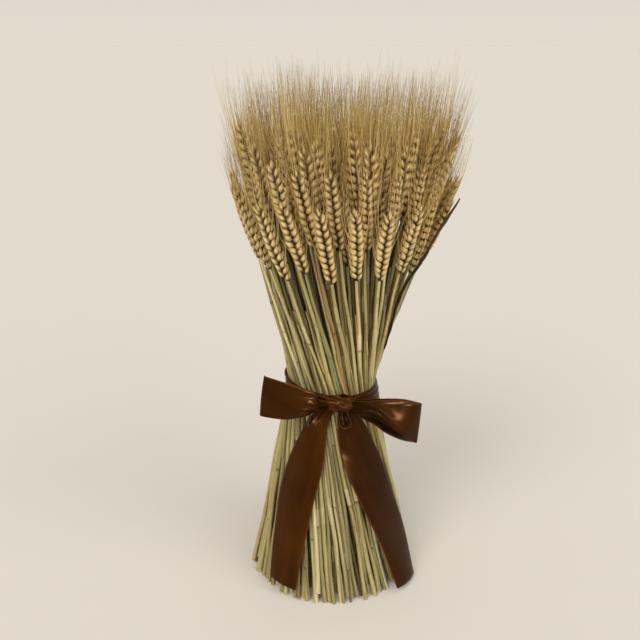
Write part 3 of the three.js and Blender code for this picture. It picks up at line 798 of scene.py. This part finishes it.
# -------------------------------------------------------------------- flag leaf
# One dried blade is left on a straw at the right. It is nearly black, thin and brittle, rolled in along its
# middle, and it stands off from the ears at its tip.
LEAF_STEPS = 70
LEAF_ACROSS = 9
LEAF_THICK = 0.3
LEAF_NARROWED = 0.7
LEAF_CURL = math.radians(70)
LEAF_TWIST_DEGREES = (20, 55)


def through(stations, count):
    """A smooth line through stations, any number of values at each, in even steps from one to the next."""
    known = np.asarray(stations, float)
    padded = np.concatenate([2 * known[:1] - known[1:2], known, 2 * known[-1:] - known[-2:-1]])
    at = np.linspace(0, len(known) - 1, count)
    i = np.minimum(at.astype(int), len(known) - 2)
    t = (at - i)[:, None]
    a, b, c, d = (padded[i + n] for n in range(4))
    return 0.5 * (2 * b + (c - a) * t + (2 * a - 5 * b + 4 * c - d) * t**2 + (3 * b - a - 3 * c + d) * t**3)


def sheet_faces(rows, columns, wraps=False):
    """The four-sided faces of a grid of points, which may close on itself along its rows."""
    row = np.arange(rows if wraps else rows - 1)
    near = (row[:, None] * columns + np.arange(columns - 1)).ravel()
    far = (((row + 1) % rows)[:, None] * columns + np.arange(columns - 1)).ravel()
    return np.stack([near, near + 1, far + 1, far], -1)


def cloth(piece, thick):
    """Gives a thin surface its thickness, with a closed rim."""
    rim = piece.modifiers.new("thickness", "SOLIDIFY")
    rim.thickness = thick * MM
    rim.offset = 0.0
    rim.use_even_offset = False
    return piece


leaf_path = through(leaf_line, LEAF_STEPS)
leaf_half = LEAF_NARROWED * through([[station[3]] for station in LEAF_STATIONS], LEAF_STEPS)[:, 0]
leaf_half *= 1 + 0.18 * np.sin(np.linspace(0, 23, LEAF_STEPS))
share = np.linspace(0, 1, LEAF_STEPS)
leaf_path[:, 0] += 1.3 * np.sin(share * 14.0) * share
leaf_along = unit(np.gradient(leaf_path, axis=0))
outwards = unit(np.stack([leaf_path[:, 0], leaf_path[:, 1], 0 * share], -1))
leaf_across = unit(np.cross(outwards, leaf_along))
leaf_face = np.cross(leaf_along, leaf_across)
twist = np.radians(LEAF_TWIST_DEGREES[0] + LEAF_TWIST_DEGREES[1] * share)[:, None]
leaf_across, leaf_face = (
    leaf_across * np.cos(twist) + leaf_face * np.sin(twist),
    leaf_face * np.cos(twist) - leaf_across * np.sin(twist),
)
u = np.linspace(-1, 1, LEAF_ACROSS)
blade = (
    leaf_path[:, None]
    + (leaf_half[:, None] * np.sin(u * LEAF_CURL) / LEAF_CURL * 1.1)[..., None] * leaf_across[:, None]
    + (leaf_half[:, None] * (1 - np.cos(u * LEAF_CURL)) / LEAF_CURL)[..., None] * leaf_face[:, None]
)
blade += (0.25 * np.sin(share * 60)[:, None] * (u**2))[..., None] * leaf_face[:, None]
leaf_skin = dried(
    "dried leaf",
    ((0.0, colour(44, 36, 24)), (1.0, colour(66, 54, 36))),
    (0.6, 0.6, 0.58, 1),
    (1.3, 1.25, 1.15, 1),
    colour(24, 20, 14),
    colour(140, 122, 84),
    ribs=2.0,
    rough=(0.55, 0.8),
    bump_mm=0.12,
)
shape = Shape()
grain = np.zeros(blade.shape)
grain[..., 0] = u * 3.5
grain[..., 2] = np.linspace(0, 140, LEAF_STEPS)[:, None]
rib = np.tile(0.35 * (np.abs(u) < 0.05), LEAF_STEPS)
faces = [sheet_faces(LEAF_STEPS, LEAF_ACROSS)]
shape.add(blade, faces, 0, grain, tone=np.repeat(share, LEAF_ACROSS), pale=rib)
leaf = cloth(shape.piece("flag_leaf_dried", [leaf_skin]), LEAF_THICK)
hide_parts("flag_leaf")
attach(leaf, "root")

# ------------------------------------------------------------------ ribbon band
# A dark chocolate satin ribbon, 38 mm wide and all one length, is drawn tight round the waist. It is gathered
# narrow under the knot and spreads to nearly its full width behind. All the ribbon's pieces share its satin.
RIBBON_WIDTH = 38.0
RIBBON_THICK = 0.35
BAND_AROUND = 168
BAND_ACROSS = 33
BAND_HALF_IN_FRONT = 7
BAND_HALF_BEHIND = 16
OFF_THE_STRAWS = 0.5


def round_sheaf(angle, z, off):
    """Points outside the straws, at angles from the front towards +X."""
    angle, z, off = np.broadcast_arrays(*(np.asarray(v, float) for v in (angle, z, off)))
    axis = on_straw(0.0, 0.0, z)
    r = np.linalg.norm(on_straw(RING_SEAT_R, 0.0, z) - axis, axis=-1) + WAIST_R + OFF_THE_STRAWS + off
    lean = LEAN * np.maximum(z - WAIST_Z, 0)
    return np.stack([r * np.sin(angle) + lean, -r * np.cos(angle), z], -1)


satin = bpy.data.materials.new("chocolate satin")
satin.use_nodes = True
tree = satin.node_tree
shader = tree.nodes["Principled BSDF"]
weave = mark(tree, "grain", "Vector")
mottle = noise(tree, times(tree, weave, (0.06, 0.06, 0.02)), 1.0, 3.0)
threads = noise(tree, times(tree, weave, (7.0, 7.0, 0.35)), 1.0, 2.0)
shade = ramp(tree, mottle, ((0.3, colour(50, 23, 3)), (0.7, colour(69, 38, 6))))
shade = blend(tree, 1.0, shade, grey(tree, stretch(tree, threads, 0.85, 1.15)), "MULTIPLY")
# The dark mark is painted shade on the loops, under the right loop's fold and on the right tail; the pale
# mark is a painted highlight along the ribbon's edges.
shade = blend(tree, mark(tree, "dark"), shade, colour(22, 8, 2))
shade = blend(tree, mark(tree, "pale"), shade, colour(116, 74, 42))
tree.links.new(shade, shader.inputs["Base Color"])
tree.links.new(stretch(tree, threads, 0.2, 0.3), shader.inputs["Roughness"])
bump = place(tree, "ShaderNodeBump", {"Height": threads, "Distance": 0.03 * MM, "Strength": 0.6})
tree.links.new(bump.outputs["Normal"], shader.inputs["Normal"])
shader.inputs["Specular IOR Level"].default_value = 0.11
shader.inputs["Specular Tint"].default_value = (1.0, 0.5, 0.24, 1)
EDGE_PAINTED_HIGHLIGHT = 0.5
SOFT_FOLD_DEGREES = 80.0


def ribbon(name, surface, wraps=False, dark=0.0):
    """A ribbon piece from a grid of points, its rows across the ribbon and one after another along it.
    Dark is a share of painted shade, and both long edges get a painted highlight.
    """
    rows, columns = surface.shape[:2]
    shape = Shape()
    grain = np.zeros(surface.shape)
    grain[..., 0] = np.linspace(0, RIBBON_WIDTH, columns)
    step = np.linalg.norm(np.diff(surface[:, columns // 2], axis=0), axis=-1)
    grain[..., 2] = np.concatenate([[0], np.cumsum(step)])[:, None]
    # Both long edges get a painted highlight.
    edge = np.zeros((rows, columns))
    edge[:, [0, -1]] = EDGE_PAINTED_HIGHLIGHT
    faces = [sheet_faces(rows, columns, wraps)]
    shape.add(surface, faces, 0, grain, dark=dark, pale=edge)
    piece = cloth(shape.piece(name, [satin], SOFT_FOLD_DEGREES), RIBBON_THICK)
    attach(piece, "root")
    return piece


angle = np.linspace(0, 2 * math.pi, BAND_AROUND, endpoint=False)[:, None]
u = np.linspace(-1, 1, BAND_ACROSS)[None]
behind = (1 - np.cos(angle)) / 2
half = BAND_HALF_IN_FRONT + (BAND_HALF_BEHIND - BAND_HALF_IN_FRONT) * behind
middle = 173.0 + 2.8 * np.cos(angle) - 4 * np.sin(angle)
drift = 0.5 * np.sin(angle * 2 + 0.7) + 0.35 * np.sin(angle * 5)
pleats = 0.5 - 0.5 * np.cos(math.pi * (u + 1) * 4 + drift * 2.2)
creases = 0.5 - 0.5 * np.cos(math.pi * (u + 1) * 2.3 + drift * 4)
off = 0.1 + (2.5 - 1.7 * behind) * pleats + 0.7 * behind * creases
band_z = middle + u * half + 0.7 * np.sin(angle * 3 + 1) * behind
band = ribbon("ribbon_band_satin", round_sheaf(angle, band_z, off), wraps=True)
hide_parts("ribbon_band")

# ------------------------------------------------------------------ ribbon knot
# The knot is the ribbon's own turn round itself, pulled into short upright pleats, with a small fold of slack
# that hangs from under it.
KNOT = np.array([6.0, -44.95, 179.0])
KNOT_ACROSS = 41
KNOT_AROUND = 60
KNOT_HALF_WIDTH = 11.4
KNOT_HALF_DEEP = 5.4
KNOT_HALF_HIGH = 6.4
x = np.linspace(-1, 1, KNOT_ACROSS)[None]
turn = np.linspace(0.62 * math.pi, 2.42 * math.pi, KNOT_AROUND)[:, None]
waist = 1 - 0.3 * np.abs(x) ** 3
folds = np.cos(turn * 5 + 1.6 * np.sin(x * 2.4 + 0.5)) + 0.5 * np.cos(x * 7.5 + 2 * turn)
swell = waist + 0.15 * folds
knot_points = np.stack(
    [
        KNOT[0] + 0.6 + KNOT_HALF_WIDTH * x + 0.6 * np.sin(turn * 2) * (1 - x**2),
        KNOT[1] - KNOT_HALF_DEEP * swell * np.cos(turn),
        KNOT[2] + KNOT_HALF_HIGH * swell * np.sin(turn) - 0.8 * x,
    ],
    -1,
)
knot = ribbon("ribbon_knot_satin", knot_points)
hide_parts("ribbon_knot")

# The fold of slack is a short turn of the ribbon seen end on, like a drop, with its hollow towards the front.
SLACK_AROUND = 49
SLACK_DEEP = 9
slack_line = through(
    [
        (-2.2, 173.8), (-3.4, 168.5), (-4.6, 163.5), (-4.2, 159.2), (-0.6, 157.0),
        (3.4, 158.4), (4.6, 162.6), (3.0, 167.8), (0.8, 173.6),
    ],
    SLACK_AROUND,
)
deep = np.linspace(0, 1, SLACK_DEEP)
slack_points = np.empty((SLACK_AROUND, SLACK_DEEP, 3))
slack_points[..., 0] = 10.6 + slack_line[:, :1] * (1 - 0.25 * deep)
slack_points[..., 1] = -48.0 + 8.4 * deep + 0.5 * np.sin(slack_line[:, 1:] * 0.4)
slack_points[..., 2] = slack_line[:, 1:] + 1.5 * deep
slack = ribbon("ribbon_slack_satin", slack_points)

# -------------------------------------------------------------------- bow loops
# Each loop of the bow is a flat turn of the ribbon that leaves the knot in pleats, opens to its full width
# and folds back behind itself. The left one stands out stiffly, and the right one has sunk and creased.
LOOP_ALONG = 90
LOOP_ACROSS = 37
LOOP_PLEATS = 5.5
LOOP_LEAST_PAINTED_SHADE = 0.3


def loop(name, way, stations):
    """Stations give the low edge, the fold and the top edge, each as how far out, how high and how far ahead
    of the knot, then how sharp the fold is and how deep the pleats are. It gets painted shade under a sharp
    fold, and a little painted shade all over."""
    known = [[*low, *fold, *top, sharp, pleat] for low, fold, top, sharp, pleat in stations]
    rows = through(known, LOOP_ALONG)
    low, fold, top = (rows[:, None, i : i + 3] for i in (0, 3, 6))
    sharp, pleat = rows[:, 9, None], rows[:, 10, None]
    share = np.linspace(0, 1, LOOP_ACROSS)[None]
    weights = np.stack([(1 - share) ** 2 + 0 * sharp, 2 * sharp * share * (1 - share), share**2 + 0 * sharp])
    weights = (weights / weights.sum(0))[..., None]
    grid = weights[0] * low + weights[1] * fold + weights[2] * top
    grid[..., 2] += np.cos((2 * share - 1) * LOOP_PLEATS * math.pi + 1.2) * pleat * 1.6
    # Painted shade under a sharp fold, and a least share of painted shade over the whole loop.
    painted_fold_shade = np.clip(1.3 - 2.5 * share, 0, 1) * np.clip((sharp - 1.5) / 2, 0, 1)
    painted_fold_shade = np.maximum(painted_fold_shade, LOOP_LEAST_PAINTED_SHADE)
    points = KNOT + np.stack([way * grid[..., 0], -grid[..., 2], grid[..., 1]], -1)
    turn = slice(None, None, 1 if way < 0 else -1)
    piece = ribbon(name, points[:, turn], dark=painted_fold_shade[:, turn])
    return piece


left_loop = loop(
    "ribbon_loop_left_satin",
    -1,
    [
        ((8, -3.5, 1.5), (8, 0, 4), (8, 2.5, 1), 1.5, 1),
        ((16, -3.5, 2), (16, 0.5, 8), (16, 3.5, 2), 2.5, 1),
        ((21, -6.5, 2.5), (21, -2.5, 10.5), (20, 11, 4), 3, 0.8),
        ((29, -10.2, 4), (29, -8, 10.5), (28, 15.5, 5.5), 2.5, 0.35),
        ((42, -12.3, 5.5), (41, -7, 8), (39, 19.5, 6), 1.3, 0.12),
        ((55, -11.4, 5), (54, 3, 7.5), (51, 23, 5), 1, 0.03),
        ((63.5, -10.9, 2.5), (62.5, 6, 3.5), (59.5, 24.8, 2.5), 1, 0),
        ((65, -11.5, -0.5), (64, 6.5, -0.5), (60.5, 24.3, -0.5), 1, 0),
        ((64, -12, -3.5), (63, 5, -4), (59.5, 21.5, -3.5), 1, 0),
        ((52, -12, -5.5), (51, 3, -7), (48, 16.8, -5.5), 1, 0.1),
        ((36, -9, -5), (36, 2, -6), (34, 12, -5), 1, 0.3),
        ((22, -4, -3), (22, 1, -3.5), (21, 7, -3), 1, 0.6),
        ((13, -2.5, -1.5), (13, 0.5, -2), (13, 4.6, -1.5), 1, 0.8),
        ((6, -2.5, -1), (6, 0, -1), (6, 2.5, -1), 1, 0.8),
    ],
)
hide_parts("ribbon_loop_left")
right_loop = loop(
    "ribbon_loop_right_satin",
    1,
    [
        ((8, -5, 1.5), (8, -1, 4.5), (8, 2.5, 1.5), 1.5, 1.2),
        ((14, -10.5, 2.5), (14, -1, 8.5), (14, 3.5, 3), 2, 1.2),
        ((22, -15.5, 2.5), (22, 3, 12), (22, 4.2, 4), 3, 0.8),
        ((28.5, -19.2, 2), (28, 1.2, 13), (28, 4.4, 4), 4, 0.5),
        ((36, -25.5, 1.5), (34, -4, 13), (34, 4.4, 3), 5, 0.25),
        ((44, -30.5, 1), (42, -14.8, 12.5), (43, 4.8, 3.5), 5, 0.1),
        ((53, -34.2, 1), (51, -22.8, 10.5), (52, 4.8, 4.5), 4, 0.05),
        ((61, -35.9, 0.5), (59, -27, 6), (60.5, 2.3, 4), 2, 0),
        ((64, -37, 0), (65.5, -18, 0.5), (66, -0.9, 0), 1, 0),
        ((63, -37.5, -3), (65, -18, -3.5), (65.5, -1.5, -3.2), 1, 0),
        ((52, -33, -5), (52, -16, -6.5), (52, 1, -5), 1, 0.1),
        ((36, -23, -5), (36, -10, -6), (36, 1.5, -5), 1, 0.3),
        ((22, -11, -3), (22, -4, -3.5), (22, 2, -3), 1, 0.6),
        ((12, -5, -1.5), (12, -1.5, -2), (12, 2.5, -1.5), 1, 0.8),
        ((6, -3, -1), (6, 0, -1), (6, 2.5, -1), 1, 0.8),
    ],
)
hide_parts("ribbon_loop_right")

# ----------------------------------------------------------------- ribbon tails
# The ribbon's two ends fall from under the knot nearly to the floor, one to each side, and lie on the straws.
# They leave the knot gathered and spread to their full width, and each is cut off at a slight slant.
TAIL_ALONG = 100
TAIL_ACROSS = 25


def tail(name, stations, slant, waves, shaded):
    """Stations give the height, the angle from the front, the half width, how far off, and how arched across.
    Waves give the place and the size along, the skew, the place and the size across, and the depth."""
    z, degrees, half, off, arch = (column[:, None] for column in through(stations, TAIL_ALONG).T)
    u = np.linspace(-1, 1, TAIL_ACROSS)[None]
    share = np.linspace(0, 1, TAIL_ALONG)[:, None]
    angle = np.radians(degrees)
    centre = round_sheaf(angle, z, off)
    across = np.stack([np.cos(angle), np.sin(angle), 0 * angle], -1)
    face = np.stack([np.sin(angle), -np.cos(angle), 0 * angle], -1)
    gathered = np.clip(1 - share * 3.5, 0, 1)
    bulge = 1.2 * gathered * np.cos(u * 3 * math.pi)
    for at, size, skew, at_u, broad, depth in waves:
        bulge = bulge + depth * np.exp(-(((share - at - skew * u) / size) ** 2) - ((u - at_u) / broad) ** 2)
    aside = half * np.sin(u * arch) / arch
    lie = bulge - half * (1 - np.cos(u * arch)) / arch
    points = centre + across * aside[..., None] + face * lie[..., None]
    points[..., 2] += slant * u * share**6
    # The shaded share is painted shade, laid over the whole tail.
    piece = ribbon(name, points, dark=shaded)
    return piece


left_tail = tail(
    "ribbon_tail_left_satin",
    [
        (172.5, -5, 6, 3.5, 0.2),
        (160, -15.5, 9.4, 3.4, 0.3),
        (146, -20.5, 12, 3.2, 0.3),
        (124, -26.5, 16.4, 3, 0.35),
        (92, -33, 18.3, 3.4, 0.35),
        (50, -34.8, 16.4, 4.4, 0.3),
        (13.5, -34.5, 14.2, 5.6, 0.3),
    ],
    -1.5,
    [
        (0.5, 0.2, 0.1, 0, 9, 0.8),
        (0.19, 0.05, 0.04, -0.35, 0.5, 5),
        (0.2, 0.12, 0, 0.7, 0.4, 1.6),
    ],
    0,
)
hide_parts("ribbon_tail_left")
right_tail = tail(
    "ribbon_tail_right_satin",
    [
        (172.5, 16, 6, 3.5, 0.2),
        (160, 20, 11, 3, 0.3),
        (146, 25, 15, 2.4, 0.4),
        (120, 33, 18.6, 3.2, 0.3),
        (90, 42, 19.2, 4.2, 0.22),
        (50, 51, 18.2, 7, 0.18),
        (5, 54, 15, 11.4, 0.35),
    ],
    -1,
    [
        (0.4, 0.1, 0.12, 0, 9, 1),
        (0.52, 0.06, 0.12, 0, 9, -1),
        (0.2, 0.12, 0, -0.6, 0.4, 1.8),
    ],
    # The right tail hangs in the shade of the right loop, so it gets painted shade.
    0.4,
)
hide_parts("ribbon_tail_right")

# -------------------------------------------------------------- floor and light
# The sheaf stands on a plain pale floor in soft light from windows at the front and the right. Two smaller
# bright panes show only in gloss, as they do along the folds of satin.
FLOOR_HALF = 60.0
floor_mesh = bpy.data.meshes.new("floor")
floor_corners = [(x * FLOOR_HALF, y * FLOOR_HALF, 0) for x, y in ((-1, -1), (1, -1), (1, 1), (-1, 1))]
floor_mesh.from_pydata(floor_corners, [], [(0, 1, 2, 3)])
floor = put_in("floor", floor_mesh)
paint = bpy.data.materials.new("pale floor")
paint.use_nodes = True
shader = paint.node_tree.nodes["Principled BSDF"]
shader.inputs["Base Color"].default_value = colour(238, 232, 222)
shader.inputs["Roughness"].default_value = 0.7
floor_mesh.materials.append(paint)


def daylight(name, come_from, breadth_degrees, strength, shade):
    """A broad, even light, like a window's, that comes from one side all over the floor."""
    lamp = bpy.data.lights.new(name, "SUN")
    lamp.angle = math.radians(breadth_degrees)
    lamp.energy = strength
    lamp.color = shade
    made = put_in(name, lamp)
    made.rotation_mode = "QUATERNION"
    made.rotation_quaternion = Vector(come_from).to_track_quat("Z", "Y")
    return made


daylight("window_front", (-0.5, -1.0, 1.2), 36, 1.3, (1.0, 0.985, 0.95))
daylight("window_right", (1.1, -0.8, 1.0), 44, 0.7, (1.0, 0.98, 0.95))
GLINT_BREADTH = 12
GLINTS = (("glint_high", (0.2, -1.0, 1.3), 4.4), ("glint_low", (0.5, -1.0, 0.12), 3.2))
for name, come_from, strength in GLINTS:
    glint = daylight(name, come_from, GLINT_BREADTH, strength, (1.0, 0.97, 0.93))
    glint.visible_diffuse = False
world = bpy.data.worlds.new("room")
world.use_nodes = True
tree = world.node_tree
seen_way = place(tree, "ShaderNodeTexCoord").outputs["Generated"]
upward = place(tree, "ShaderNodeSeparateXYZ", {0: seen_way})
room = ramp(
    tree,
    upward.outputs["Z"],
    ((0.0, (0.764, 0.709, 0.621, 1)), (0.3, (0.61, 0.585, 0.54, 1)), (0.85, (0.36, 0.35, 0.34, 1))),
)
tree.links.new(room, tree.nodes["Background"].inputs["Color"])
tree.nodes["Background"].inputs["Strength"].default_value = 1.0
bpy.context.scene.world = world
